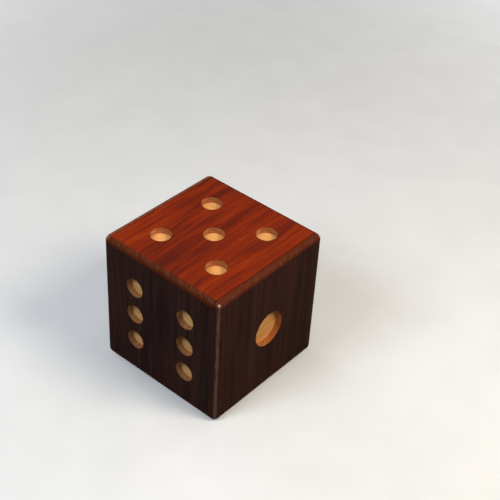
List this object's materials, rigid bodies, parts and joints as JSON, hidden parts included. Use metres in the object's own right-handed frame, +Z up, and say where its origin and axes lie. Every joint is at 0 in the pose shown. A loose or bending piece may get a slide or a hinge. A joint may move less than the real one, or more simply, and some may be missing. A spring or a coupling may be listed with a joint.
{
  "type": "wooden die box",
  "caption": "Hollow wooden die with drilled pips over a light-wood inner box; the top board is a sliding lid that loose steel pins lock when the die is turned over.",
  "frame": {"origin": "centre of the bottom face", "axes": "+Z up, +X towards the face with one pip, -Y towards the face with six pips, lid slides along +Y"},
  "size_m": [0.068, 0.068, 0.068],
  "materials": {
    "red_hardwood": "clear satin-gloss lacquer over reddish hardwood, grain along Y",
    "dark_hardwood": "clear satin-gloss lacquer over dark purple-brown hardwood",
    "light_wood": "smooth, lightly sealed pale wood",
    "steel": "ground"
  },
  "bodies": {
    "box": {"side_panel_one": "dark_hardwood", "side_panel_four": "dark_hardwood", "side_panel_six": "dark_hardwood", "side_panel_three": "dark_hardwood", "bottom_panel_two": "dark_hardwood", "inner_wall_left": "light_wood", "inner_wall_right": "light_wood", "inner_wall_front": "light_wood", "inner_wall_back": "light_wood", "inner_floor": "light_wood"},
    "lid": {"lid_panel_five": "red_hardwood", "lid_end_strip": "dark_hardwood", "lid_inner_board": "light_wood", "lid_runner_left": "light_wood", "lid_runner_right": "light_wood", "lid_stop_peg": "light_wood"},
    "pin_left": {"lock_pin_left": "steel"},
    "pin_right": {"lock_pin_right": "steel"}
  },
  "joints": [
    {"name": "lid_slide", "type": "slide", "parent": "box", "child": "lid", "axis": [0, 1, 0], "range_m": [0, 0.0448]},
    {"name": "pin_left_drop", "type": "slide", "parent": "box", "child": "pin_left", "axis": [0, 0, 1], "range_m": [0, 0.0035]},
    {"name": "pin_right_drop", "type": "slide", "parent": "box", "child": "pin_right", "axis": [0, 0, 1], "range_m": [0, 0.0035]}
  ]
}
